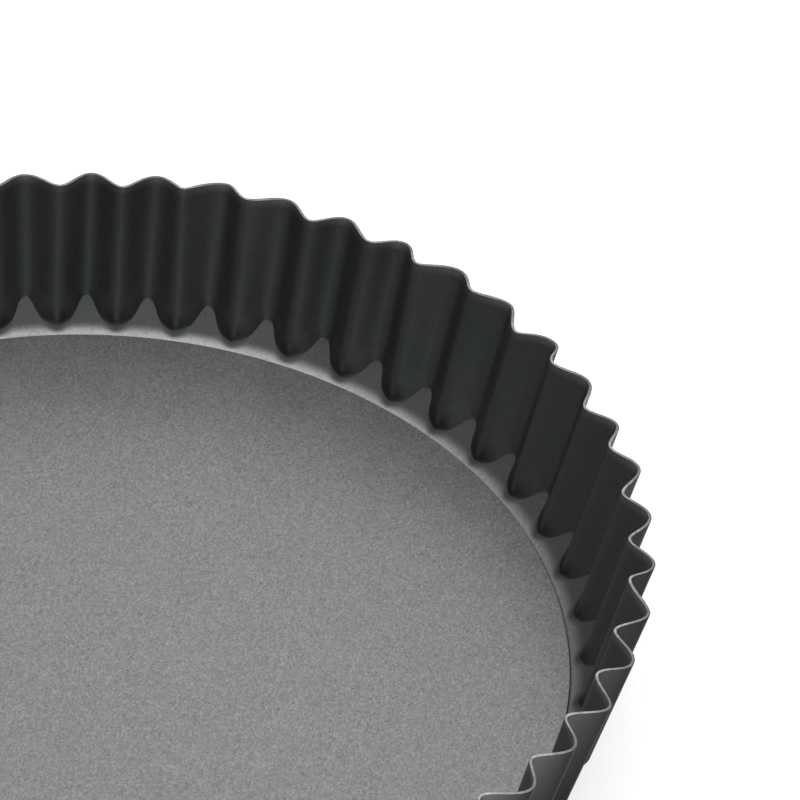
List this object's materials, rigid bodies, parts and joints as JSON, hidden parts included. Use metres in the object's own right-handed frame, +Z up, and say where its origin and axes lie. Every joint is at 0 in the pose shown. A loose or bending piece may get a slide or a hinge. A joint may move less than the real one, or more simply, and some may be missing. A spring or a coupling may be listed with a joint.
{
  "type": "fluted quiche tin",
  "caption": "Round fluted tin with a flared, pressed wall and a flat loose base that lies in a recessed seat and lifts out, for baking quiches and tarts.",
  "frame": {"origin": "centre of the foot, on the surface that the tin stands on", "axes": "+Z up along the tin's axis; +X and +Y each pass through an outward ridge of the fluted wall"},
  "size_m": [0.25, 0.25, 0.0404],
  "materials": {
    "ring_coat": "dark grey metallic non-stick coat, satin",
    "base_coat": "grey metallic non-stick coat with fine flake, satin"
  },
  "bodies": {
    "ring": {"fluted_ring": "ring_coat"},
    "base": {"loose_base": "base_coat"}
  },
  "joints": [
    {"name": "base_lift", "type": "slide", "parent": "ring", "child": "base", "axis": [0, 0, 1], "range_m": [0, 0.045]}
  ]
}
